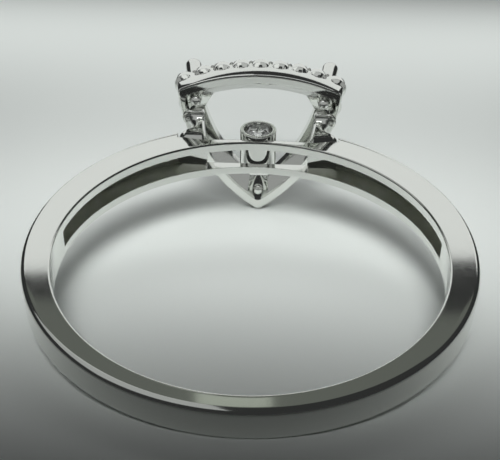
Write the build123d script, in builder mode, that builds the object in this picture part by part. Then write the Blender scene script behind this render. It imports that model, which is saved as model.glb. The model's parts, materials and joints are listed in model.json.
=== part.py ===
from build123d import *
from math import asin, atan2, cos, degrees, hypot, pi, radians, sin, sqrt
import os

# A white gold halo ring that waits for its centre stone, lying on its side, in millimetres.
# In the ring's own frame X is to the right, Y from the finger to the head, Z along the finger.

# Shank
finger_radius = 8.25          # 16.5 mm across inside
shank_thickness = 1.30        # at the sides
shank_rise = 0.43             # the outer circle lies this far toward the head
band_width_head = 1.82        # along the finger, at the top of the bore
band_width_back = 1.40        # along the finger, at the bottom of the bore
outer_edge_round = 0.22
inner_edge_round = 0.08

# Channel inside each shoulder and the two rails that it leaves
rail_width = 0.42             # along the finger
seat_rise = 0.33              # from the top of the bore to the flat seat filed for the head
shoulder_plate = 0.65         # metal left outside the channel, which holds the shoulder stones
channel_margin = 1.42         # channel past the last shoulder stone

# Side walls, from the shoulders up to the halo
wall_inner_foot = 2.50        # from the ring's middle to the near face, at the rails
wall_inner_top = 2.82         # and at the halo
foot_reach = 3.99             # to the rolled foot, which stands on the seat
foot_side = 0.12              # the foot goes straight up this far past the shoulder's edge
foot_roll = 0.46              # radius of its rolled edge
waist_reach = 3.36
waist_below = 0.36            # the waist lies this far behind the halo's back
waist_slant = 0.30            # the lower end of the waist is nearer to the middle
cove_radius = 0.30            # hollow where the wall meets the halo's back
wall_recess = 0.07            # the wall's sides lie this far inside the band's
wall_chamfer = 0.34           # slope of the sides down to the rails
wall_inset = 0.05             # the wall stands in this far from the halo's edge
wall_overlap = 0.25           # and runs this far into the frame

# Halo: a triangle with three rounded sides, one corner down
gallery_height = 2.22         # from the seat to the halo's back face
halo_drop = 0.06              # the halo's middle lies this far below the band's
side_distance = 3.35          # from the middle to the middle of a side
side_radius = 9.57            # of the rounded sides
corner_round = 0.34
back_edge_round = 0.25
back_rim = 0.50               # flat rim on the back
front_rim = 1.15              # width of the frame at the front
seat_corner_cut = 0.62        # web across each inside corner
wall_depth = 0.76             # polished wall, back to front
wall_flare = 0.10
pave_depth = 0.60             # plate that holds the halo stones
scallop_margin = 0.17         # metal outside each halo stone

# Prongs
prong_back = 0.33             # the upper stubs stand this far behind the halo's back
low_prong_back = -0.12        # the lower one stays inside the frame
prong_back_reach = 3.72       # from the middle of the halo
prong_tip_reach = 4.22
prong_stub_radius = 0.30
prong_tip_radius = 0.43
prong_length = 3.65           # from the back of an upper prong to the middle of its tip

# Tube under the head
tube_radius = 0.91
tube_half_length = 1.03
tube_overlap = 0.06           # soldered into the rails
tube_bore = 0.42

# Stones
halo_stone = 0.85             # diameters
shoulder_stone = 1.00
gallery_stone = 1.37
stone_gap = 0.11              # between neighbours
seat_gap = 0.03               # between a stone and its seat
shoulder_margin = 0.86        # from the wall's foot to the first stone's middle
shoulder_stones = 8
azure_radius = 0.27           # hole under each shoulder stone
halo_prong_clearance = 0.10
table_share = 0.57            # of a stone's diameter
crown_share = 0.15
girdle_share = 0.04
pavilion_share = 0.43
culet_share = 0.04
facets = 8
crown_stand = 0.06            # a stone's girdle lies this far below the metal around it


shank_radius = finger_radius + shank_thickness
seat_height = finger_radius + seat_rise
halo_back = seat_height + gallery_height


def half_width(y):
    slope = (band_width_head - band_width_back) / (2 * finger_radius)
    return (band_width_back + slope * (y + finger_radius)) / 2


def corner_distance(growth):
    spread = side_radius - side_distance
    return sqrt((side_radius + growth) ** 2 - 0.75 * spread ** 2) - spread / 2


def polar(reach, angle):
    return (reach * cos(radians(angle)), reach * sin(radians(angle)))


sides = (90, 210, 330)        # directions of the middles of the halo's sides
corners = (30, 150, 270)

# Halo stones stand in a row along each side, clear of the prongs at its ends
halo_front = halo_back + wall_depth + pave_depth
row_growth = wall_flare - halo_stone / 2
row_radius = side_radius + row_growth
row_half_angle = degrees(asin(corner_distance(row_growth) * sin(radians(60)) / row_radius))
halo_pitch_angle = degrees((halo_stone + stone_gap) / row_radius)
end_clearance = prong_tip_radius + halo_stone / 2 + halo_prong_clearance
row_free_angle = row_half_angle - degrees(end_clearance / row_radius)
stones_each_way = int(row_free_angle / halo_pitch_angle)


def row_point(side, step):
    turn = side + step * halo_pitch_angle
    centre = polar(side_radius - side_distance, side + 180)
    reach = polar(row_radius, turn)
    return (centre[0] + reach[0], centre[1] + reach[1])


halo_points = [
    row_point(side, step)
    for side in sides
    for step in range(-stones_each_way, stones_each_way + 1)
]
scallop_radius = halo_stone / 2 + scallop_margin
corner_points = [polar(corner_distance(row_growth), corner) for corner in corners]

# How it lies: on the lower tip of the halo and on the lower edge of the shank's back
tip_y = halo_back + wall_depth
tip_z = -(corner_distance(row_growth) + scallop_radius) - halo_drop
heel_y = -(shank_radius - shank_rise - outer_edge_round)
heel_z = -(half_width(heel_y) - outer_edge_round)
span = hypot(tip_y - heel_y, tip_z - heel_z)
lean = -atan2(tip_z - heel_z, tip_y - heel_y) - asin(outer_edge_round / span)
prong_tip_y = halo_back - prong_back + prong_length
far_y = prong_tip_y * cos(lean) + prong_tip_reach * sin(lean) + prong_tip_radius
near_y = heel_y * cos(lean) + heel_z * sin(lean) - outer_edge_round
lift = -(tip_y * sin(lean) + tip_z * cos(lean))
shift = -(far_y + near_y) / 2

ring = Plane(origin=(0, shift, lift), x_dir=(1, 0, 0), z_dir=(0, -sin(lean), cos(lean)))
side_view = Plane(origin=ring.origin, x_dir=ring.y_dir, z_dir=ring.x_dir)


def head_plane(y):
    return Plane(origin=ring.from_local_coords((0, y, -halo_drop)), x_dir=-ring.x_dir, z_dir=ring.y_dir)


def trillion(growth, rounding=0.0, cut=0.0):
    with BuildLine() as outline:
        for side in sides:
            ThreePointArc(
                polar(corner_distance(growth), side - 60),
                polar(side_distance + growth, side),
                polar(corner_distance(growth), side + 60),
            )
    make_face(outline.edges())
    if rounding:
        fillet(vertices(), rounding)
    if cut:
        chamfer(vertices(), cut)


def tapered_slab(inset):
    # Trapezium seen along the ring's X: the band's width less an inset at each side
    reach = 2 * shank_radius
    near = half_width(-reach) - inset
    far = half_width(reach) - inset
    Polygon((-reach, -near), (reach, -far), (reach, far), (-reach, near), align=None)


def round_stone(girdle, diameter):
    with BuildPart() as stone:
        with BuildSketch(girdle.offset(diameter * crown_share)):
            RegularPolygon(diameter * table_share / 2, facets)
        with BuildSketch(girdle):
            RegularPolygon(diameter / 2, facets)
        with BuildSketch(girdle.offset(-diameter * girdle_share)):
            RegularPolygon(diameter / 2, facets)
        with BuildSketch(girdle.offset(-diameter * (girdle_share + pavilion_share))):
            RegularPolygon(diameter * culet_share / 2, facets)
        loft(ruled=True)
    return stone


def stone_seat(girdle, diameter, bore, depth):
    # A pocket for the girdle, a cone for the pavilion and a hole below it
    mouth = diameter / 2 + seat_gap
    cone_depth = (mouth - bore) * 2 * pavilion_share
    bed = girdle.offset(-diameter * girdle_share - seat_gap)
    with BuildPart() as seat:
        with BuildSketch(bed):
            Circle(mouth)
        extrude(amount=diameter)
        with BuildSketch(bed):
            Circle(mouth)
        with BuildSketch(bed.offset(-cone_depth)):
            Circle(bore)
        loft()
        if depth:
            with BuildSketch(bed):
                Circle(bore)
            extrude(amount=-depth)
    return seat


def prong(corner, back):
    # A rounded stub behind the seat and a long unset prong in front of it
    stub_y = halo_back - back + prong_stub_radius
    stub = Vector(head_plane(stub_y).from_local_coords(polar(prong_back_reach, corner)))
    tip = Vector(head_plane(prong_tip_y).from_local_coords(polar(prong_tip_reach, corner)))
    across = Vector(head_plane(0).from_local_coords(polar(1, corner + 90))) - head_plane(0).origin
    length = (tip - stub).length
    with BuildPart() as whole:
        with BuildSketch(Plane(origin=stub, x_dir=tip - stub, z_dir=across)):
            with BuildLine():
                RadiusArc((-prong_stub_radius, 0), (0, prong_stub_radius), prong_stub_radius)
                Line((0, prong_stub_radius), (length, prong_tip_radius))
                RadiusArc((length, prong_tip_radius), (length + prong_tip_radius, 0), prong_tip_radius)
                Line((length + prong_tip_radius, 0), (-prong_stub_radius, 0))
            make_face()
        revolve(axis=Axis(stub, tip - stub))
    return whole


# Where the stones sit: a plane on each girdle, facing out
halo_girdles = [
    Plane(origin=head_plane(halo_front - crown_stand).from_local_coords(point),
          x_dir=ring.x_dir, z_dir=ring.y_dir)
    for point in halo_points
]


def shoulder_girdle(hand, place):
    first = asin(foot_reach / shank_radius) + shoulder_margin / shank_radius
    turn = hand * (first + place * (shoulder_stone + stone_gap) / shank_radius)
    out = ring.x_dir * sin(turn) + ring.y_dir * cos(turn)
    middle = Vector(ring.from_local_coords((0, shank_rise, 0)))
    return Plane(origin=middle + out * (shank_radius - crown_stand), x_dir=ring.z_dir, z_dir=out)


left_girdles = [shoulder_girdle(-1, place) for place in range(shoulder_stones)]
right_girdles = [shoulder_girdle(1, place) for place in range(shoulder_stones)]
last_turn = asin(foot_reach / shank_radius) + (
    shoulder_margin + channel_margin + (shoulder_stones - 1) * (shoulder_stone + stone_gap)
) / shank_radius

tube_y = seat_height + tube_radius - tube_overlap
tube_girdle_z = tube_half_length - 2 * crown_stand
upper_girdle = Plane(origin=ring.from_local_coords((0, tube_y, tube_girdle_z)),
                     x_dir=ring.x_dir, z_dir=ring.z_dir)
lower_girdle = Plane(origin=ring.from_local_coords((0, tube_y, -tube_girdle_z)),
                     x_dir=ring.x_dir, z_dir=-ring.z_dir)

# One side wall: an S outline from the shoulder to the halo, hollowed where it meets the halo
foot_y = shank_rise + sqrt(shank_radius ** 2 - foot_reach ** 2) + foot_side
wall_root_y = seat_height - wall_overlap
wall_top_y = halo_back + wall_overlap
wall_half = half_width(finger_radius) - wall_recess
wall_top_half = wall_half + cove_radius


def halo_reach(z):
    spread = side_radius - side_distance
    rise = z + halo_drop - spread / 2
    return sqrt(side_radius ** 2 - rise ** 2) - spread * cos(radians(30)) - wall_inset


def wall_outline(up):
    top_reach = halo_reach(up * wall_top_half)
    waist = (waist_reach - waist_slant * (1 - up) / 2, halo_back - waist_below)
    with BuildLine() as outline:
        roll = CenterArc((foot_reach - foot_roll, foot_y), foot_roll, 0, 60)
        TangentArc(roll @ 1, waist, tangent=roll % 1)
        TangentArc(waist, (top_reach, halo_back), tangent=(0, 1))
        Polyline((top_reach, halo_back), (top_reach, wall_top_y), (wall_inner_top, wall_top_y),
                 (wall_inner_top, halo_back), (wall_inner_foot, wall_root_y),
                 (foot_reach, wall_root_y), (foot_reach, foot_y))
    make_face(outline.edges())


with BuildPart() as side_wall:
    for up in (1, -1):
        with BuildSketch(ring.offset(up * wall_top_half)):
            wall_outline(up)
    loft(ruled=True)
    with BuildSketch(side_view):
        with BuildLine():
            for up in (1, -1):
                ThreePointArc((wall_root_y, up * (wall_half - wall_chamfer)),
                              (foot_y - foot_side, up * (wall_half - wall_chamfer / 5)),
                              (foot_y + foot_roll, up * wall_half))
                Line((foot_y + foot_roll, up * wall_half), (halo_back - cove_radius, up * wall_half))
                RadiusArc((halo_back - cove_radius, up * wall_half),
                          (halo_back, up * wall_top_half), up * cove_radius)
                Polyline((halo_back, up * wall_top_half), (wall_top_y, up * wall_top_half),
                         (wall_top_y, 0))
            Line((wall_root_y, wall_half - wall_chamfer), (wall_root_y, wall_chamfer - wall_half))
        make_face()
    extrude(amount=shank_radius, mode=Mode.INTERSECT)

with BuildPart() as halo_frame:
    # Polished wall, wider toward the front
    with BuildSketch(head_plane(halo_back)):
        trillion(0, corner_round)
    with BuildSketch(head_plane(halo_back + wall_depth)):
        trillion(wall_flare, corner_round)
    loft(ruled=True)
    fillet(halo_frame.edges().sort_by(Axis(ring.origin, ring.y_dir))[:6], back_edge_round)
    # Scalloped plate for the stones
    with BuildSketch(head_plane(halo_back + wall_depth)):
        trillion(wall_flare, corner_round)
        with Locations(*halo_points, *corner_points):
            Circle(scallop_radius)
    extrude(amount=pave_depth)
    # Open seat for the centre stone
    with BuildSketch(head_plane(halo_back)):
        trillion(-back_rim, rounding=corner_round)
    with BuildSketch(head_plane(halo_back + wall_depth)):
        trillion(wall_flare - front_rim, cut=seat_corner_cut)
    loft(ruled=True, mode=Mode.SUBTRACT)
    with BuildSketch(head_plane(halo_back + wall_depth)):
        trillion(wall_flare - front_rim, cut=seat_corner_cut)
    extrude(amount=pave_depth, mode=Mode.SUBTRACT)
    for corner, back in zip(corners, (prong_back, prong_back, low_prong_back)):
        add(prong(corner, back).part)

with BuildPart() as channel:
    with BuildSketch(ring):
        with Locations((0, shank_rise)):
            Circle(shank_radius - shoulder_plate)
        far = 3 * shank_radius
        end = (far * sin(last_turn), shank_rise + far * cos(last_turn))
        Polygon((0, shank_rise), end, (far, 2 * far), (-far, 2 * far), (-end[0], end[1]),
                align=None, mode=Mode.INTERSECT)
    extrude(amount=band_width_head, both=True)
    with BuildSketch(side_view):
        tapered_slab(rail_width)
    extrude(amount=2 * shank_radius, both=True, mode=Mode.INTERSECT)

with BuildPart() as gallery_tube:
    with BuildSketch(ring):
        with Locations((0, tube_y)):
            Circle(tube_radius)
            Circle(tube_bore, mode=Mode.SUBTRACT)
    extrude(amount=tube_half_length, both=True)

seats = [
    stone_seat(girdle, halo_stone, azure_radius / 2, halo_stone * pavilion_share)
    for girdle in halo_girdles
]
seats += [
    stone_seat(girdle, shoulder_stone, azure_radius, shoulder_plate + shoulder_stone / 2)
    for girdle in left_girdles + right_girdles
]
seats += [stone_seat(girdle, gallery_stone, tube_bore, 0) for girdle in (upper_girdle, lower_girdle)]

with BuildPart() as ring_mount:
    # Shank
    with BuildSketch(ring):
        with Locations((0, shank_rise)):
            Circle(shank_radius)
        Circle(finger_radius, mode=Mode.SUBTRACT)
    extrude(amount=band_width_head, both=True)
    with BuildSketch(side_view):
        tapered_slab(0)
    extrude(amount=2 * shank_radius, both=True, mode=Mode.INTERSECT)
    fillet(ring_mount.edges().group_by(SortBy.LENGTH)[-1], outer_edge_round)
    fillet(ring_mount.edges().filter_by(GeomType.ELLIPSE), inner_edge_round)
    # Flat seat for the head, with only the rails left below it
    with BuildSketch(ring):
        with Locations((0, seat_height)):
            Rectangle(2 * foot_reach, shank_radius, align=(Align.CENTER, Align.MIN))
    extrude(amount=band_width_head, both=True, mode=Mode.SUBTRACT)
    add(side_wall.part)
    mirror(side_wall.part, about=Plane.YZ)
    add(channel.part, mode=Mode.SUBTRACT)
    add(halo_frame.part)
    add(gallery_tube.part)
    add([seat.part for seat in seats], mode=Mode.SUBTRACT)

os.makedirs("parts", exist_ok=True)

ring_mount.part.label = "ring_mount"
export_step(ring_mount.part, "parts/ring_mount.step")

stone_rows = {
    "halo_stone": (halo_girdles, halo_stone),
    "left_shoulder_stone": (left_girdles, shoulder_stone),
    "right_shoulder_stone": (right_girdles, shoulder_stone),
}
for row, (girdles, diameter) in stone_rows.items():
    for place, girdle in enumerate(girdles, 1):
        stone = round_stone(girdle, diameter)
        stone.part.label = f"{row}_{place:02d}"
        export_step(stone.part, f"parts/{row}_{place:02d}.step")

for name, girdle in {"upper_gallery_stone": upper_girdle, "lower_gallery_stone": lower_girdle}.items():
    stone = round_stone(girdle, gallery_stone)
    stone.part.label = name
    export_step(stone.part, f"parts/{name}.step")

print(f"leans {degrees(lean):.1f} degrees, lift {lift:.2f}, shift {shift:.2f}")
print(f"metal {ring_mount.part.volume:.1f} mm3, {len(ring_mount.solids())} solid")
print(f"{len(halo_points)} halo stones, {2 * shoulder_stones} shoulder stones")
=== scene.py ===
import json
import math

import bmesh
import bpy
import numpy as np
from mathutils import Matrix, Vector


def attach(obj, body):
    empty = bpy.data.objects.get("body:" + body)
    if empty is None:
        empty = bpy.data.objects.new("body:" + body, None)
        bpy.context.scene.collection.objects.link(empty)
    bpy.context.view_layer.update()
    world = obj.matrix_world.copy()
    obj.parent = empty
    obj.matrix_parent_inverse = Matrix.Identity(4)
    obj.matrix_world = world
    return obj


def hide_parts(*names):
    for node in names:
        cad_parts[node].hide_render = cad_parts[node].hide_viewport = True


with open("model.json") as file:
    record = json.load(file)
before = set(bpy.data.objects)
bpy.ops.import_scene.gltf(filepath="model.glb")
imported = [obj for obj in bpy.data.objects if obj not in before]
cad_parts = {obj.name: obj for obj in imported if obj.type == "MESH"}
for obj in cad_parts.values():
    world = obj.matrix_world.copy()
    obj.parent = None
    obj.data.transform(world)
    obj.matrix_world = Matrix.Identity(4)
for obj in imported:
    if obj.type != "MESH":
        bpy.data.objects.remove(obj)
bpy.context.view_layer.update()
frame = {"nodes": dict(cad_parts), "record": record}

# The ring's own axes, in the part's frame: x to the right, y from the finger to the head,
# z along the finger. Pieces are worked out there in millimetres, round the finger's axis.
bore = next(m for m in frame["record"]["mounts"] if m["name"] == "finger")
ringMiddle = np.array(bore["pos_m"])
ringUp = np.array(bore["axis"]) / np.linalg.norm(bore["axis"])
ringHead = np.cross(ringUp, (1.0, 0.0, 0.0))
ringAxes = np.array([(1.0, 0.0, 0.0), ringHead, ringUp])
millimetre = 0.001
weldDistance = 2e-8  # in metres
edgeGap = 0.01  # between a rounded edge and the next row of points, in millimetres


def toFrame(points):
    return np.asarray(points, float) @ ringAxes * millimetre + ringMiddle


def fromFrame(point):
    return (np.asarray(point) - ringMiddle) @ ringAxes.T / millimetre


def newPiece(name, points, faces, sharpAngle=30):
    mesh = bpy.data.meshes.new(name)
    mesh.from_pydata(toFrame(points).tolist(), [], [tuple(f) for f in faces])
    piece = bpy.data.objects.new(name, mesh)
    bpy.context.scene.collection.objects.link(piece)
    tidyNormals(piece, sharpAngle)
    return piece


def tidyNormals(piece, sharpAngle):
    work = bmesh.new()
    work.from_mesh(piece.data)
    bmesh.ops.remove_doubles(work, verts=work.verts, dist=weldDistance)
    bmesh.ops.dissolve_degenerate(work, edges=work.edges, dist=weldDistance)
    bmesh.ops.recalc_face_normals(work, faces=work.faces)
    work.to_mesh(piece.data)
    work.free()
    piece.data.polygons.foreach_set("use_smooth", [True] * len(piece.data.polygons))
    piece.data.set_sharp_from_angle(angle=math.radians(sharpAngle))


def gridFaces(rows, columns, closedRows=True, closedColumns=True):
    i, j = np.meshgrid(np.arange(rows if closedRows else rows - 1),
                       np.arange(columns if closedColumns else columns - 1), indexing="ij")
    i2, j2 = (i + 1) % rows, (j + 1) % columns
    corners = np.stack([i * columns + j, i * columns + j2, i2 * columns + j2, i2 * columns + j], -1)
    return corners.reshape(-1, 4).tolist()


def pointing(degrees):
    turn = math.radians(degrees)
    return np.array([math.cos(turn), math.sin(turn)])


def arc(centre, radius, start, end, count):
    turn = np.radians(np.linspace(start, end, count))
    return np.stack([centre[0] + radius * np.cos(turn), centre[1] + radius * np.sin(turn)], -1)


def tangentArc(start, tangent, end, count):
    # From start to end on the one circle that leaves start along the tangent
    start, end = np.array(start, float), np.array(end, float)
    side = np.array([-tangent[1], tangent[0]]) / np.hypot(*tangent)
    span = end - start
    radius = span @ span / (2 * span @ side)
    centre = start + side * radius
    first = math.degrees(math.atan2(*(start - centre)[::-1]))
    last = math.degrees(math.atan2(*(end - centre)[::-1]))
    turn = (last - first) % 360 if radius > 0 else -((first - last) % 360)
    return arc(centre, abs(radius), first, first + turn, count)


def lathe(profile, origin, axis, count):
    # The profile's pairs are (distance along the axis, radius); both ends lie on the axis or meet
    axis = np.array(axis, float) / np.linalg.norm(axis)
    across = np.cross(axis, (0.31, 0.17, 0.93))  # any direction off the axis
    across /= np.linalg.norm(across)
    other = np.cross(axis, across)
    turn = np.linspace(0, 2 * math.pi, count, endpoint=False)
    ringOut = np.cos(turn)[:, None] * across + np.sin(turn)[:, None] * other
    points = [np.array(origin) + axis * along + ringOut * radius for along, radius in profile]
    return np.concatenate(points), gridFaces(len(profile), count, closedRows=False)


def cut(piece, cutters):
    # Exact boolean with every cutter, applied to the mesh
    for cutter in cutters:
        step = piece.modifiers.new("cut", "BOOLEAN")
        step.operation = "DIFFERENCE"
        step.solver = "EXACT"
        step.object = cutter
    graph = bpy.context.evaluated_depsgraph_get()
    mesh = bpy.data.meshes.new_from_object(piece.evaluated_get(graph))
    piece.modifiers.clear()
    piece.data = mesh
    for cutter in cutters:
        bpy.data.objects.remove(cutter)


# Bed cut for a stone: pocket above the girdle, cone for the pavilion, hole below
stoneBed = {"gap": 0.03, "girdle": 0.04, "slope": 0.86, "steps": 48}


def bedProfile(stone, hole):
    # From the pocket's wall down to the hole, as (height over the girdle, radius)
    mouth = stone / 2 + stoneBed["gap"]
    bed = -stoneBed["girdle"] * stone - stoneBed["gap"]
    return [(bed, mouth), (bed - (mouth - hole) * stoneBed["slope"], hole)]


def stoneSeat(girdle, out, stone, hole, depth):
    (bed, mouth), cone = bedProfile(stone, hole)
    profile = [(stone, 0), (stone, mouth), (bed, mouth), cone, (bed - depth, hole), (bed - depth, 0)]
    return lathe(profile, girdle, out, stoneBed["steps"])


# Shank: band, finger bore, flat seat for the head, channels behind the shoulder stones
shank = {
    "finger": bore["dims"]["r_mm"], "rise": 0.43,
    "outer": 9.549,  # a hair inside the solid's 9.55
    "widthHead": 1.82, "widthBack": 1.40,
    "outerRound": 0.22, "innerRound": 0.08,
    "seat": 8.58, "foot": 3.99, "aboveSeat": 0.05,
    "rail": 0.42, "railLean": 0.16, "leanStart": 0.4, "leanRun": 0.9,
    "plate": 0.65, "channelMargin": 1.42, "channelFloor": 7.2, "channelSteps": 241,
    "firstStone": 0.86, "pitch": 1.11, "stone": 1.00, "stones": 8, "crownStand": 0.06,
    "azure": 0.27, "azureDepth": 1.15,
    "boxTop": 12.0, "boxSide": 3.0,
    "steps": 480, "sharpAngle": 28,
}


def halfWidth(y):
    slope = (shank["widthHead"] - shank["widthBack"]) / (2 * shank["finger"])
    return (shank["widthBack"] + slope * (np.asarray(y) + shank["finger"])) / 2


def shoulderTurn(place):
    first = math.asin(shank["foot"] / shank["outer"]) + shank["firstStone"] / shank["outer"]
    return first + place * shank["pitch"] / shank["outer"]


def shoulderPlace(hand, place, inward):
    # A point on the row of shoulder stones, below the band's outside, and the way out there
    turn = hand * shoulderTurn(place)
    out = np.array([math.sin(turn), math.cos(turn), 0.0])
    return np.array([0.0, shank["rise"], 0.0]) + out * (shank["outer"] - inward), out


def bandSection(turn):
    # Closed loop of (distance from the finger's axis, place along it), corners rounded
    s, c = math.sin(turn), math.cos(turn)
    outer = shank["rise"] * s + math.sqrt(shank["outer"] ** 2 - (shank["rise"] * c) ** 2)
    inner = shank["finger"]
    big, small = shank["outerRound"], shank["innerRound"]
    halfOut, halfIn = float(halfWidth(outer * s)), float(halfWidth(inner * s))
    side = np.append(np.linspace(outer - big - edgeGap, shank["seat"] + shank["aboveSeat"], 5),
                     np.linspace(shank["seat"], inner + small + edgeGap, 4))
    # Under the head the rails' faces lean in a little toward the seat
    underHead = np.clip((shank["foot"] - shank["leanStart"] - abs(side * c)) / shank["leanRun"], 0, 1)
    lean = shank["railLean"] * underHead * (s > 0) * (side - inner - small)
    upper = np.concatenate([
        np.linspace((outer, 0), (outer, halfOut - big - edgeGap), 5),
        arc((outer - big, halfOut - big), big, 0, 90, 9),
        np.stack([side, halfWidth(side * s) - lean], -1),
        arc((inner + small, halfIn - small), small, 90, 180, 6),
        np.linspace((inner, halfIn - small - edgeGap), (inner, 2 * edgeGap), 5)])
    return np.concatenate([upper, upper[1:][::-1] * (1, -1)])


def buildShank():
    loops = []
    for turn in np.linspace(0, 2 * math.pi, shank["steps"], endpoint=False):
        r, z = bandSection(turn).T
        loops.append(np.stack([r * math.cos(turn), r * math.sin(turn), z], -1))
    piece = newPiece("shank", np.concatenate(loops), gridFaces(len(loops), len(loops[0])))
    cutters = [newPiece("seatBox", *seatBox()), newPiece("channel", *channelRing())]
    for hand in (-1, 1):
        for place in range(shank["stones"]):
            girdle, out = shoulderPlace(hand, place, shank["crownStand"])
            hole = stoneSeat(girdle, out, shank["stone"], shank["azure"], shank["azureDepth"])
            cutters.append(newPiece("azure", *hole))
    cut(piece, cutters)
    tidyNormals(piece, shank["sharpAngle"])
    return piece


def seatBox():
    # Takes the band away above the flat seat, between the feet of the head
    x, z = shank["foot"], shank["boxSide"]
    corners = ((-1, -1), (1, -1), (1, 1), (-1, 1))
    points = [(sx * x, y, sz * z) for y in (shank["seat"], shank["boxTop"]) for sx, sz in corners]
    return points, [(0, 1, 2, 3), (7, 6, 5, 4), (0, 4, 5, 1), (1, 5, 6, 2), (2, 6, 7, 3), (3, 7, 4, 0)]


def channelRing():
    # Everything between the rails, up to the plate that holds the shoulder stones
    reach = shoulderTurn(shank["stones"] - 1) + shank["channelMargin"] / shank["outer"]
    floor, roof = shank["channelFloor"], shank["outer"] - shank["plate"]
    points = []
    for turn in np.linspace(-reach, reach, shank["channelSteps"]):
        for radius, side in ((floor, -1), (floor, 1), (roof, 1), (roof, -1)):
            x, y = radius * math.sin(turn), shank["rise"] + radius * math.cos(turn)
            points.append((x, y, side * float(halfWidth(y) - shank["rail"])))
    last = len(points) - 4
    faces = gridFaces(shank["channelSteps"], 4, closedRows=False)
    return points, faces + [(3, 2, 1, 0), (last, last + 1, last + 2, last + 3)]


# Halo: a triangle with three rounded sides and one corner down, wider toward the front
halo = {
    "back": 10.80, "drop": 0.06, "sideDistance": 3.35, "sideRadius": 9.57, "cornerRound": 0.34,
    "backEdge": 0.11, "backRim": 0.44, "bevel": 0.09, "frontRim": 1.19, "cornerCut": 0.62,
    "crown": 14, "crownRadius": 2.757,
    "wallDepth": 0.76, "flare": 0.10, "plate": 0.60, "scallop": 0.595, "scallopInset": 0.02,
    "seatEdge": 0.05, "crownStand": 0.06,
    "stone": 0.85, "pitch": 0.96, "perSide": 7, "azure": 0.135, "azureDepth": 0.36,
    "steps": 1440, "sideSteps": 200, "cornerSteps": 60, "sharpAngle": 30,
}
sides = (90, 210, 330)
corners = (30, 150, 270)
haloSpread = halo["sideRadius"] - halo["sideDistance"]  # from the middle to a side's centre
haloTurns = np.linspace(0, 2 * math.pi, halo["steps"], endpoint=False)
haloRays = np.stack([np.cos(haloTurns), np.sin(haloTurns)], -1)


def cornerDistance(growth):
    return math.sqrt((halo["sideRadius"] + growth) ** 2 - 0.75 * haloSpread ** 2) - haloSpread / 2


def outline(growth, rounding=0.0, cornerCut=0.0):
    # Points round the halo's triangle, from its middle, grown and with its corners rounded or cut off
    radius = halo["sideRadius"] + growth - rounding
    halfSide = cornerDistance(growth - rounding) * math.sin(math.radians(60))
    reach = math.degrees(math.asin(halfSide / radius) - cornerCut / radius)
    points = []
    for side in sides:
        middle = -haloSpread * pointing(side)
        points.append(arc(middle, radius + rounding, side - reach, side + reach, halo["sideSteps"]))
        if rounding:
            tip = middle + radius * pointing(side + reach)
            points.append(arc(tip, rounding, side + reach, side + 120 - reach, halo["cornerSteps"])[1:-1])
    return np.concatenate(points)


def reachAround(points):
    # An outline's distance from the middle, at every step of haloTurns
    start = np.arctan2(points[:, 1], points[:, 0]) % (2 * math.pi)
    order = np.argsort(start)
    at = np.searchsorted(start[order], haloTurns, side="right") - 1
    a = points[order][at]
    edge = np.roll(points[order], -1, axis=0)[at] - a
    cross = haloRays[:, 0] * edge[:, 1] - haloRays[:, 1] * edge[:, 0]
    return (a[:, 0] * edge[:, 1] - a[:, 1] * edge[:, 0]) / cross


def haloPoint(side, step, out=0.0):
    # A place on a side's row of stones, or to one side of the row
    row = halo["sideRadius"] + halo["flare"] - halo["stone"] / 2
    turn = math.degrees(step * halo["pitch"] / row)
    return (row + out) * pointing(side + turn) - haloSpread * pointing(side)


eachWay = halo["perSide"] // 2
haloPoints = [haloPoint(side, step) for side in sides for step in range(-eachWay, eachWay + 1)]
cornerReach = cornerDistance(halo["flare"] - halo["stone"] / 2)
cornerPoints = [cornerReach * pointing(corner) for corner in corners]


def scallopReach(base, radius):
    # A reach round the halo, pushed out to the scallops round the stones and the corners
    reach = base.copy()
    for centre in haloPoints + cornerPoints:
        along = haloRays @ centre
        inside = radius ** 2 - (centre @ centre - along ** 2)
        hit = along + np.sqrt(np.maximum(inside, 0))
        reach = np.where(inside > 0, np.maximum(reach, hit), reach)
    return reach


def toHalo(across, up, depth):
    # From the halo's own plane to the ring's axes; seen from the back, across runs to the left
    return np.stack([-np.asarray(across), np.full_like(across, halo["back"]) + depth,
                     np.asarray(up) - halo["drop"]], -1)


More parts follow.
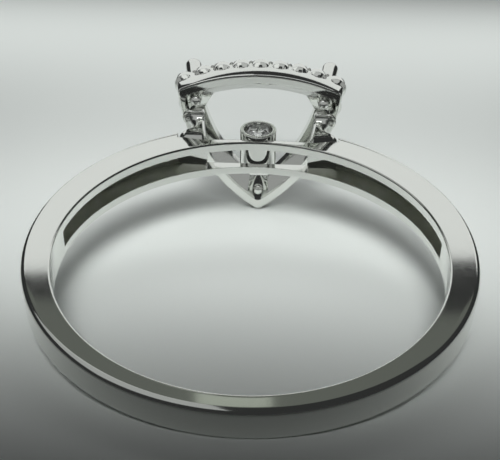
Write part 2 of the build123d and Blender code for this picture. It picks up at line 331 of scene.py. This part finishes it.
def buildHalo():
    full, flare, edge, bevel = halo["wallDepth"], halo["flare"], halo["backEdge"], halo["bevel"]
    backRim, plate, scallop, seatEdge = halo["backRim"], halo["plate"], halo["scallop"], halo["seatEdge"]
    crown, front = math.radians(halo["crown"]), full + plate
    levels = []

    def level(reach, depth):
        levels.append(toHalo(*(haloRays * reach[:, None]).T, depth))

    def grown(growth):
        return reachAround(outline(growth, rounding=halo["cornerRound"]))

    def wallGrowth(turn):
        return flare - halo["crownRadius"] * (1 - math.cos(turn))

    # Flat back rim, a small rounded edge, then the polished wall, gently crowned toward the front
    rimOut = wallGrowth(crown) - edge * math.cos(crown)
    for share in (0.0, 0.04, 0.5, 0.97):
        level(grown(-backRim + (rimOut + backRim) * share), 0.0)
    for turn in np.linspace(math.pi / 2, crown, 8):
        level(grown(rimOut + edge * math.cos(turn)), edge * (1 - math.sin(turn)))
    start = edge * (1 - math.sin(crown))
    for turn in np.linspace(crown, 0, 13)[1:]:
        rise = (math.sin(crown) - math.sin(turn)) / math.sin(crown)
        level(grown(wallGrowth(turn)), start + (full - edgeGap - start) * rise)
    # Scalloped plate: what each row's scallops lack in radius, and how far it is past the wall
    plateBase = grown(flare) - halo["scallopInset"]
    for lack, past in ((0.15, 0.0), (0.05, 0.12), (0.0, 0.20), (0.0, 0.30),
                       (0.0, plate - 0.06), (0.015, plate - 0.02), (0.05, plate)):
        outerFront = scallopReach(plateBase, scallop - lack)
        level(outerFront, full + past)
    # Front face, in to the window with its webbed corners
    webbed = reachAround(outline(flare - halo["frontRim"], cornerCut=halo["cornerCut"]))
    for share in (0.15, 0.5, 0.85, 1.0):
        level(outerFront + (webbed + seatEdge - outerFront) * share, front)
    level(webbed, front - seatEdge)
    # Window's wall, narrowing to the webbed corners at the front
    window = grown(-backRim - bevel)
    for share in (1.0, 0.97, 0.8, 0.6, 0.4, 0.2, 0.03, 0.0):
        level(webbed * share + window * (1 - share), bevel + (full - bevel) * share)
    for share in (0.9, 0.5, 0.1):
        level(grown(-backRim - bevel * share), bevel * share)
    faces = gridFaces(len(levels), halo["steps"])
    piece = newPiece("halo_frame", np.concatenate(levels), faces, halo["sharpAngle"])
    cutters = []
    for centre in haloPoints:
        girdle = toHalo(*centre, front - halo["crownStand"])
        pocket = stoneSeat(girdle, (0, 1, 0), halo["stone"], halo["azure"], halo["azureDepth"])
        cutters.append(newPiece("pocket", *pocket))
    cut(piece, cutters)
    tidyNormals(piece, halo["sharpAngle"])
    return piece


# Side walls: from the shoulders' feet, through a waist, to the halo's back
wall = {
    "innerFoot": 2.50, "innerTop": 2.82, "footSide": 0.12, "footRoll": 0.46, "rollTurn": 60,
    "waistReach": 3.46, "waistBelow": 0.42, "waistSlant": 0.30, "ledge": 0.13, "cove": 0.30, "lip": 0.08,
    "recess": 0.07, "chamfer": 0.34, "chamferPower": 2.2, "inset": 0.05, "overlap": 0.25,
    "outerEdge": 0.40, "innerEdge": 0.20, "flat": (0.03, 0.3, 0.6, 0.97), "sharpAngle": 35,
}
footY = shank["rise"] + math.sqrt(shank["outer"] ** 2 - shank["foot"] ** 2) + wall["footSide"]
rollY = footY + wall["footRoll"] * math.sin(math.radians(wall["rollTurn"]))
lipY = halo["back"] - wall["lip"]
coveY = lipY - wall["cove"]
wallRoot = shank["seat"] - wall["overlap"]
wallTop = halo["back"] + wall["overlap"]
wallHalf = float(halfWidth(shank["finger"])) - wall["recess"]
wallTopHalf = wallHalf + wall["cove"] + wall["lip"]


def haloReachAt(z):
    # The halo's reach to the left and right at a place along the finger, less the walls' inset
    rise = z + halo["drop"] - haloSpread / 2
    across = haloSpread * math.cos(math.radians(30))
    return math.sqrt(halo["sideRadius"] ** 2 - rise ** 2) - across - wall["inset"]


def wallOutline(up):
    # Outer face seen along the finger, from the seat to inside the halo
    top = haloReachAt(up * wallTopHalf)
    waist = (wall["waistReach"] - wall["waistSlant"] * (1 - up) / 2, halo["back"] - wall["waistBelow"])
    roll = arc((shank["foot"] - wall["footRoll"], footY), wall["footRoll"], 0, wall["rollTurn"], 40)
    heading = pointing(wall["rollTurn"] + 90)
    turn = np.radians(np.linspace(0, 90, 40))[1:]
    flare = np.stack([waist[0] + (top - waist[0]) * (1 - np.cos(turn)),
                      waist[1] + (wall["waistBelow"] - wall["ledge"]) * np.sin(turn)], -1)
    return np.concatenate([[(shank["foot"], wallRoot)], roll, tangentArc(roll[-1], heading, waist, 60)[1:],
                           flare, [(top, wallTop)]])


def wallHalfAt(y):
    # Half the wall's width: sloped at the foot, hollowed under the halo, with a rolled lip there
    slopeTop = footY + wall["footRoll"]
    below = max(slopeTop - y, 0) / (slopeTop - wallRoot)
    half = wallHalf - wall["chamfer"] * below ** wall["chamferPower"]
    if y > lipY:
        return half + wall["cove"] + math.sqrt(max(wall["lip"] ** 2 - max(halo["back"] - y, 0) ** 2, 0))
    if y > coveY:
        return half + wall["cove"] * (1 - math.sqrt(1 - ((y - coveY) / wall["cove"]) ** 2))
    return half


def wallSection(y, high, low):
    # Loop of (distance from the ring's middle, place along the finger) at one height
    half, big, small = wallHalfAt(y), wall["outerEdge"], wall["innerEdge"]
    outerHigh, outerLow = (np.interp(y, side[:, 1], side[:, 0]) for side in (high, low))
    inner = np.interp(y, [wallRoot, halo["back"], wallTop],
                      [wall["innerFoot"], wall["innerTop"], wall["innerTop"]])

    def outerAt(z):
        return outerLow + (outerHigh - outerLow) * (z / wallTopHalf + 1) / 2

    upper, lower = outerAt(half) - big, outerAt(-half) - big
    flat = np.array(wall["flat"])
    outerZ = np.linspace(-half + big + edgeGap, half - big - edgeGap, 9)
    innerZ = half - small - edgeGap
    return np.concatenate([
        np.stack([outerAt(outerZ), outerZ], -1),
        arc((upper, half - big), big, 0, 90, 9),
        np.stack([upper + (inner + small - upper) * flat, np.full(len(flat), half)], -1),
        arc((inner + small, half - small), small, 90, 180, 7),
        np.linspace((inner, innerZ), (inner, -innerZ), 5),
        arc((inner + small, -half + small), small, 180, 270, 7),
        np.stack([lower + (inner + small - lower) * flat[::-1], np.full(len(flat), -half)], -1),
        arc((lower, -half + big), big, 270, 360, 9)])


def buildWall(name, hand):
    high, low = wallOutline(1), wallOutline(-1)
    heights = np.concatenate([
        np.linspace(wallRoot, footY, 10)[:-1],
        arc((0, footY), wall["footRoll"], 0, wall["rollTurn"], 16)[:, 1],
        np.linspace(rollY, coveY, 24)[1:],
        arc((0, coveY), wall["cove"], 0, 89, 16)[1:, 1],
        halo["back"] - arc((0, 0), wall["lip"], 8, 90, 8)[:, 0],
        [wallTop]])
    loops = []
    for y in heights:
        loop = wallSection(y, high, low)
        loops.append(np.stack([hand * loop[:, 0], np.full(len(loop), y), loop[:, 1]], -1))
    count = len(loops[0])
    faces = gridFaces(len(loops), count, closedRows=False)
    last = (len(loops) - 1) * count
    faces += [list(range(count))[::-1], list(range(last, last + count))]
    return newPiece(name, np.concatenate(loops), faces, wall["sharpAngle"])


# Prongs: a rounded stub behind the seat, a long unset prong in front of it
prong = {"back": 0.33, "lowerBack": -0.12, "backReach": 3.72, "tipReach": 4.22,
         "stub": 0.30, "tip": 0.43, "length": 3.65, "steps": 64, "sharpAngle": 40}


def buildProng(name, corner, back):
    stub = toHalo(*pointing(corner) * prong["backReach"], prong["stub"] - back)
    tip = toHalo(*pointing(corner) * prong["tipReach"], prong["length"] - prong["back"])
    length = float(np.linalg.norm(tip - stub))
    behind = arc((0, 0), prong["stub"], 180, 90, 14)
    ahead = arc((length, 0), prong["tip"], 90, 0.1, 16)
    behind[0, 1] = 0
    ahead[-1] = (length + prong["tip"], 0)
    taper = np.linspace((0, prong["stub"]), (length, prong["tip"]), 12)[1:-1]
    profile = np.concatenate([behind, taper, ahead])
    return newPiece(name, *lathe(profile, stub, tip - stub, prong["steps"]), prong["sharpAngle"])


# Tube under the head, with a diamond in each end
tube = {"radius": 0.91, "half": 1.03, "overlap": 0.06, "bore": 0.42, "stone": 1.37, "girdleIn": 0.12,
        "lip": 0.05, "lipGap": 0.02, "mouthEdge": 0.035, "steps": 96, "sharpAngle": 35}


def buildTube():
    r, half, lip, mouthEdge = tube["radius"], tube["half"], tube["lip"], tube["mouthEdge"]
    (bed, mouth), cone = bedProfile(tube["stone"], tube["bore"])
    girdle = half - tube["girdleIn"]
    end = [*arc((half - lip, r - lip), lip, 90, 0, 6),
           *arc((half - mouthEdge, mouth + mouthEdge), mouthEdge, 0, -90, 5),
           (girdle + bed + edgeGap, mouth), (girdle + bed, mouth), (girdle + cone[0], cone[1])]
    other = [(-along, radius) for along, radius in end[::-1]]
    straight = half - lip - tube["lipGap"]
    profile = [*end, *other, (-straight, r), (0.0, r), (straight, r), end[0]]
    middle = (0, shank["seat"] + r - tube["overlap"], 0)
    return newPiece("gallery_tube", *lathe(profile, middle, (0, 0, 1), tube["steps"]), tube["sharpAngle"])


# Beads raised from the metal between neighbouring stones
bead = {"halo": 0.105, "haloOut": 0.37, "haloSink": 0.01, "shoulder": 0.11, "shoulderOut": 0.38,
        "shoulderSink": 0.02, "root": 0.8, "steps": 16, "sharpAngle": 60}


def buildBeads(name, places, radius):
    points, faces = [], []
    profile = np.concatenate([[(-bead["root"] * radius, 0)], arc((0, 0), radius, 130, 1, 9)])
    profile[-1] = (radius, 0)
    for origin, out in places:
        beadPoints, beadFaces = lathe(profile, origin, out, bead["steps"])
        faces += [[v + len(points) for v in quad] for quad in beadFaces]
        points += beadPoints.tolist()
    return newPiece(name, points, faces, bead["sharpAngle"])


def haloBeads():
    front = halo["wallDepth"] + halo["plate"] - bead["haloSink"]
    places = []
    for side in sides:
        for step in np.arange(-eachWay, eachWay + 2) - 0.5:
            for out in (-bead["haloOut"], bead["haloOut"]):
                places.append((toHalo(*haloPoint(side, step, out), front), (0, 1, 0)))
    return buildBeads("halo_beads", places, bead["halo"])


def shoulderBeads():
    places = []
    for hand in (-1, 1):
        for place in np.arange(shank["stones"] + 1) - 0.5:
            origin, out = shoulderPlace(hand, place, bead["shoulderSink"])
            for z in (-bead["shoulderOut"], bead["shoulderOut"]):
                places.append((origin + (0, 0, z), out))
    return buildBeads("shoulder_beads", places, bead["shoulder"])


# Stones: round brilliants, 57 facets and a fluted girdle
cutOf = {"table": 0.57, "crown": 34.5, "pavilion": 40.75, "girdle": 0.04, "star": 21.0, "starIn": 0.995,
         "upperGirdle": 41.0, "lowerGirdle": 42.3, "halfReach": 0.4905, "rough": 64, "snap": 1e-7,
         "girdleUp": 0.07}


def brilliant():
    # Girdle radius 0.5, its middle at the origin, table toward +z
    work = bmesh.new()
    bmesh.ops.create_cone(work, cap_ends=True, segments=cutOf["rough"], radius1=0.5, radius2=0.5, depth=2)
    girdle = cutOf["girdle"] / 2

    def facet(azimuth, angle, reach, height):
        tilt = math.radians(abs(angle))
        x, y = pointing(azimuth)
        normal = Vector((math.sin(tilt) * x, math.sin(tilt) * y, math.copysign(math.cos(tilt), angle)))
        point = Vector((reach * x, reach * y, height))
        made = bmesh.ops.bisect_plane(work, geom=[*work.verts, *work.edges, *work.faces],
                                      plane_co=point, plane_no=normal, clear_outer=True, dist=cutOf["snap"])
        edges = [e for e in made["geom_cut"] if isinstance(e, bmesh.types.BMEdge)]
        bmesh.ops.edgenet_fill(work, edges=edges)

    def eightFacets(first, angle, reach, height):
        for k in range(8):
            facet(first + 45 * k, angle, reach, height)

    def sixteenFacets(angle, height):
        for k in range(16):
            facet(11.25 + 22.5 * k, angle, cutOf["halfReach"], height)

    tableHeight = girdle + (0.5 - cutOf["table"] / 2) * math.tan(math.radians(cutOf["crown"]))
    starReach = cutOf["table"] / 2 / math.cos(math.radians(22.5)) * cutOf["starIn"]
    eightFacets(0, cutOf["crown"], 0.5, girdle)
    facet(0, 0, 0, tableHeight)
    sixteenFacets(cutOf["upperGirdle"], girdle)
    eightFacets(22.5, cutOf["star"], starReach, tableHeight)
    eightFacets(0, -cutOf["pavilion"], 0.5, -girdle)
    sixteenFacets(-cutOf["lowerGirdle"], -girdle)
    bmesh.ops.recalc_face_normals(work, faces=work.faces)
    points = np.array([v.co[:] for v in work.verts])
    faces = [[v.index for v in f.verts] for f in work.faces]
    work.free()
    return points, faces


brilliantPoints, brilliantFaces = brilliant()


def setStone(node, diameter, out):
    # The girdle's middle comes from the node that the stone replaces
    mesh = frame["nodes"][node].data
    spots = np.unique(np.round([v.co[:] for v in mesh.vertices], 7), axis=0)
    out = np.array(out, float) / np.linalg.norm(out)
    girdle = fromFrame(spots.mean(axis=0)) + out * cutOf["girdleUp"] * diameter
    side = np.cross(out, (0.0, 0.0, 1.0) if abs(out[2]) < 0.9 else (1.0, 0.0, 0.0))
    side /= np.linalg.norm(side)
    axes = np.array([side, np.cross(out, side), out])
    piece = newPiece("brilliant_" + node, brilliantPoints * diameter @ axes + girdle, brilliantFaces, 1)
    piece.data.polygons.foreach_set("use_smooth", [False] * len(piece.data.polygons))
    return piece


def stoneFor(node):
    if node.startswith("halo"):
        return setStone(node, halo["stone"], (0, 1, 0))
    if "shoulder" in node:
        hand = -1 if node.startswith("left") else 1
        place = int(node[-2:]) - 1
        return setStone(node, shank["stone"], shoulderPlace(hand, place, 0)[1])
    return setStone(node, tube["stone"], (0, 0, 1 if node.startswith("upper") else -1))


# Materials
metalLook = {
    "polished": {"colour": (0.80, 0.81, 0.78), "shade": (0.775, 0.785, 0.755), "roughness": 0.045,
                 "variation": 0.045, "strength": 0.3},
    # Channel metal: a rougher as-cast finish, and a much darker shade colour that is painted shade for the
    # recessed channels
    "cast_and_shaded": {"colour": (0.78, 0.79, 0.73), "shade": (0.42, 0.43, 0.38), "roughness": 0.24,
             "variation": 0.25, "strength": 1.0},
}
polishLook = {"cloudScale": 700, "cloudDetail": 4, "lineScale": 2600, "lineDetail": 3, "lineTwist": 1.4,
              "waviness": 0.02, "depth": 0.00001, "edge": 0.035, "edgeSamples": 4}
diamondLook = {"cool": (0.96, 0.98, 0.98), "clear": (1.0, 1.0, 0.99), "scale": 900, "ior": 2.417}


def addNoise(tree, scale, detail=2.0, twist=0.0):
    place = tree.nodes.new("ShaderNodeTexCoord")
    noise = tree.nodes.new("ShaderNodeTexNoise")
    noise.inputs["Scale"].default_value = scale
    noise.inputs["Detail"].default_value = detail
    noise.inputs["Distortion"].default_value = twist
    tree.links.new(place.outputs["Object"], noise.inputs["Vector"])
    return noise.outputs["Fac"]


def addMath(tree, operation, *values):
    step = tree.nodes.new("ShaderNodeMath")
    step.operation = operation
    for socket, value in zip(step.inputs, values):
        tree.links.new(value, socket)
    return step.outputs[0]


def addMix(tree, factor):
    mix = tree.nodes.new("ShaderNodeMix")
    mix.data_type = "RGBA"
    tree.links.new(factor, mix.inputs["Factor"])
    return mix


def newMaterial(name):
    material = bpy.data.materials.new(name)
    material.use_nodes = True
    return material, material.node_tree.nodes["Principled BSDF"]


def polishGroup():
    # Hand polish: faint clouds in the colour, fine lines in the roughness, a soft waviness
    group = bpy.data.node_groups.new("handPolish", "ShaderNodeTree")
    for name, way, kind in (("Colour", "INPUT", "Color"), ("Shade", "INPUT", "Color"),
                            ("Roughness", "INPUT", "Float"), ("Variation", "INPUT", "Float"),
                            ("Waviness", "INPUT", "Float"), ("Colour", "OUTPUT", "Color"),
                            ("Roughness", "OUTPUT", "Float"), ("Height", "OUTPUT", "Float")):
        group.interface.new_socket(name=name, in_out=way, socket_type="NodeSocket" + kind)
    given, result = group.nodes.new("NodeGroupInput"), group.nodes.new("NodeGroupOutput")
    cloud = addNoise(group, polishLook["cloudScale"], polishLook["cloudDetail"])
    lines = addNoise(group, polishLook["lineScale"], polishLook["lineDetail"], polishLook["lineTwist"])
    colour = addMix(group, cloud)
    group.links.new(given.outputs["Shade"], colour.inputs["A"])
    group.links.new(given.outputs["Colour"], colour.inputs["B"])
    roughness = addMath(group, "MULTIPLY_ADD", lines, given.outputs["Variation"], given.outputs["Roughness"])
    height = addMath(group, "MULTIPLY", cloud, given.outputs["Waviness"])
    group.links.new(colour.outputs["Result"], result.inputs["Colour"])
    group.links.new(roughness, result.inputs["Roughness"])
    group.links.new(height, result.inputs["Height"])
    return group


def whiteGold(name, look, group):
    material, shader = newMaterial(name)
    tree = material.node_tree
    shader.inputs["Metallic"].default_value = 1.0
    polish = tree.nodes.new("ShaderNodeGroup")
    polish.node_tree = group
    polish.inputs["Colour"].default_value = (*look["colour"], 1)
    polish.inputs["Shade"].default_value = (*look["shade"], 1)
    polish.inputs["Roughness"].default_value = look["roughness"]
    polish.inputs["Variation"].default_value = look["variation"]
    polish.inputs["Waviness"].default_value = polishLook["waviness"]
    bump = tree.nodes.new("ShaderNodeBump")
    bump.inputs["Distance"].default_value = polishLook["depth"]
    bump.inputs["Strength"].default_value = look["strength"]
    soft = tree.nodes.new("ShaderNodeBevel")
    soft.samples = polishLook["edgeSamples"]
    soft.inputs["Radius"].default_value = polishLook["edge"] * millimetre
    tree.links.new(soft.outputs["Normal"], bump.inputs["Normal"])
    tree.links.new(polish.outputs["Height"], bump.inputs["Height"])
    tree.links.new(polish.outputs["Colour"], shader.inputs["Base Color"])
    tree.links.new(polish.outputs["Roughness"], shader.inputs["Roughness"])
    tree.links.new(bump.outputs["Normal"], shader.inputs["Normal"])
    return material


def diamond():
    material, shader = newMaterial("cut_diamond")
    tree = material.node_tree
    shader.inputs["Transmission Weight"].default_value = 1.0
    shader.inputs["IOR"].default_value = diamondLook["ior"]
    shader.inputs["Roughness"].default_value = 0.0
    tint = addMix(tree, addNoise(tree, diamondLook["scale"]))
    tint.inputs["A"].default_value = (*diamondLook["cool"], 1)
    tint.inputs["B"].default_value = (*diamondLook["clear"], 1)
    tree.links.new(tint.outputs["Result"], shader.inputs["Base Color"])
    return material


def finish(piece, material):
    piece.data.materials.clear()
    piece.data.materials.append(material)
    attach(piece, "root")


# Behind the shoulder stones the channels keep a rougher as-cast finish, and their much darker colour is
# painted shade in the recess; between the head's feet the rails are polished
castShadeBed = {"fromMiddle": 2.6, "lowest": -4, "sideGap": 0.02, "underOutside": 0.35}


def markCastAndShade(piece, material):
    piece.data.materials.append(material)
    for face in piece.data.polygons:
        x, y, z = fromFrame(face.center)
        between = abs(z) < halfWidth(y) - shank["rail"] + castShadeBed["sideGap"]
        outsideBore = math.hypot(x, y) > shank["finger"] + edgeGap
        underPlate = math.hypot(x, y - shank["rise"]) < shank["outer"] - castShadeBed["underOutside"]
        inShoulder = abs(x) > castShadeBed["fromMiddle"] and y > castShadeBed["lowest"]
        if between and outsideBore and underPlate and inShoulder:
            face.material_index = 1


handPolish = polishGroup()
gold, castShadedGold = (whiteGold(f"{name}_white_gold", look, handPolish) for name, look in metalLook.items())
stoneLook = diamond()
band = buildShank()
print("shank done", len(band.data.polygons))
haloFrame = buildHalo()
print("halo done", len(haloFrame.data.polygons))
walls = [buildWall("side_wall_left", -1), buildWall("side_wall_right", 1)]
setting = [buildTube(), haloBeads(), shoulderBeads()]
for name, corner, back in (("left_prong", 30, "back"), ("right_prong", 150, "back"),
                           ("lower_prong", 270, "lowerBack")):
    setting.append(buildProng(name, corner, prong[back]))
metal = [band, haloFrame, *walls, *setting]
for piece in metal:
    finish(piece, gold)
# The channel faces between the rails take the darker metal: painted shade in the recess, on a really rougher
# finish
markCastAndShade(band, castShadedGold)
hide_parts("ring_mount")
print("metal done", len(metal), "pieces")

stones = []
for node in sorted(frame["nodes"]):
    if "stone" in node:
        stone = stoneFor(node)
        finish(stone, stoneLook)
        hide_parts(node)
        stones.append(stone)
print("stones done", len(stones))


# Floor
floorLook = {"colour": (0.79, 0.815, 0.80), "roughness": 0.9, "size": 0.6, "points": 61}


def lightGroup(name, pieces):
    # The pieces that a lamp with this name in its "only" reaches
    lit = bpy.data.collections.new(name)
    bpy.context.scene.collection.children.link(lit)
    for piece in pieces:
        lit.objects.link(piece)


def buildFloor():
    side = np.linspace(-1, 1, floorLook["points"]) * floorLook["size"]
    x, y = np.meshgrid(side, side, indexing="ij")
    points = np.stack([x, y, np.zeros_like(x)], -1).reshape(-1, 3)
    mesh = bpy.data.meshes.new("floor")
    mesh.from_pydata(points.tolist(), [], gridFaces(len(side), len(side), False, False))
    floor = bpy.data.objects.new("floor", mesh)
    lightGroup("floor", [floor])
    material, shader = newMaterial("floor")
    shader.inputs["Base Color"].default_value = (*floorLook["colour"], 1)
    shader.inputs["Roughness"].default_value = floorLook["roughness"]
    mesh.materials.append(material)


buildFloor()
print("floor done")


# Light, in metres. The band mirrors a tall panel on the far side, a dim strip over it and a small
# patch, under a pale sky. The head also has a room behind the camera, a box on each side and glints
# from above. Three lamps reach the floor alone.
green, pale = (0.92, 1.0, 0.86), (0.975, 1.0, 0.985)
lights = {
    "panel": {"only": "ring", "place": (0.0, 0.1193, 0.0722), "size": (0.18, 0.1185), "radiance": 0.78,
              "roll": 4},
    "dusk": {"only": "band", "place": (0.0, 0.085, 0.175), "size": (0.20, 0.05), "radiance": 0.10,
             "tint": green},
    "patch": {"only": "band", "place": (-0.0066, 0.068, 0.136), "size": (0.0156, 0.013), "radiance": 0.27,
              "tint": green},
    "sky": {"only": "ring", "place": (-0.15, -0.01, 0.25), "size": (0.26, 0.24), "radiance": 0.36,
            "aim": (-0.15, -0.01, 0.0)},
    "room": {"only": "head", "place": (0.0, -0.15, 0.13), "size": (0.5, 0.25), "radiance": 0.36},
    "left": {"only": "frontal", "place": (-0.13, 0.0, 0.045), "size": (0.14, 0.09), "radiance": 0.32},
    "right": {"only": "frontal", "place": (0.13, 0.0, 0.045), "size": (0.14, 0.09), "radiance": 0.32},
    "glint": {"only": "setting", "place": (0.0, -0.045, 0.20), "size": (0.07, 0.05), "radiance": 1.6},
    "wallGlint": {"only": "walls", "place": (0.0, -0.06, 0.19), "size": (0.13, 0.10), "radiance": 1.6},
    "crest": {"only": "halo", "place": (0.0, -0.035, 0.20), "size": (0.3, 0.14), "radiance": 0.50},
    "far": {"only": "floor", "place": (0.0, 0.060, 0.057), "size": (0.17, 0.038), "radiance": 1.22,
            "aim": (0.0, 0.050, 0.0), "spread": 86},
    "near": {"only": "floor", "place": (0.0, -0.035, 0.040), "size": (0.048, 0.012), "radiance": 1.85,
             "aim": (0.0, 0.0095, 0.0), "spread": 35},
    "front": {"only": "floor", "place": (0.0, -0.12, 0.10), "size": (0.30, 0.08), "radiance": 0.42,
              "aim": (0.0, -0.12, 0.0), "spread": 70},
}
surround = {"colour": (0.90, 0.93, 0.93), "strength": 0.035}


def addLight(name, only, place, size, radiance, aim=(0, 0, 0.003), spread=180, roll=0, tint=pale):
    data = bpy.data.lights.new(name, "AREA")
    data.shape = "RECTANGLE"
    data.size, data.size_y = size
    data.energy = radiance * math.pi * size[0] * size[1]
    data.color = tint
    data.spread = math.radians(spread)
    lamp = bpy.data.objects.new(name, data)
    facing = (Vector(aim) - Vector(place)).to_track_quat("-Z", "Y").to_matrix()
    turn = facing @ Matrix.Rotation(math.radians(roll), 3, "Z")
    lamp.matrix_world = Matrix.Translation(place) @ turn.to_4x4()
    bpy.context.scene.collection.objects.link(lamp)
    lamp.light_linking.receiver_collection = bpy.data.collections[only]


setting += stones
for name, pieces in (("ring", metal + stones), ("band", [band]), ("halo", [haloFrame]), ("walls", walls),
                     ("setting", setting), ("head", walls + setting), ("frontal", [haloFrame] + setting)):
    lightGroup(name, pieces)
for name, light in lights.items():
    addLight(name, **light)
world = bpy.data.worlds.new("studio")
world.use_nodes = True
world.node_tree.nodes["Background"].inputs["Color"].default_value = (*surround["colour"], 1)
world.node_tree.nodes["Background"].inputs["Strength"].default_value = surround["strength"]
bpy.context.scene.world = world
print("light done", len(lights), "lamps")

# Camera, at the photograph's viewing angle, placed in the ring's own axes
view = {"azimuth": 0.0351, "elevation": 0.6346, "roll": 0.0128, "distance": 37.1043,
        "target": (-0.0213, 0.0, 1.6702), "lens": 64.8, "sensor": 36, "nearest": 0.001}


def addCamera():
    a, e, roll = view["azimuth"], view["elevation"], view["roll"]
    away = np.array([math.sin(a) * math.cos(e), -math.cos(a) * math.cos(e), math.sin(e)])
    right = np.array([math.cos(a), math.sin(a), 0.0])
    up = np.cross(away, right)
    right, up = math.cos(roll) * right + math.sin(roll) * up, math.cos(roll) * up - math.sin(roll) * right
    place = toFrame([np.array(view["target"]) + away * view["distance"]])[0]
    turn = Matrix([list(row) for row in (np.array([right, up, away]) @ ringAxes).T])
    data = bpy.data.cameras.new("camera")
    data.lens = view["lens"]
    data.sensor_width = view["sensor"]
    data.clip_start = view["nearest"]
    camera = bpy.data.objects.new("camera", data)
    camera.matrix_world = Matrix.Translation(place) @ turn.to_4x4()
    bpy.context.scene.collection.objects.link(camera)
    bpy.context.scene.camera = camera


addCamera()
bpy.context.scene.view_settings.view_transform = "Standard"
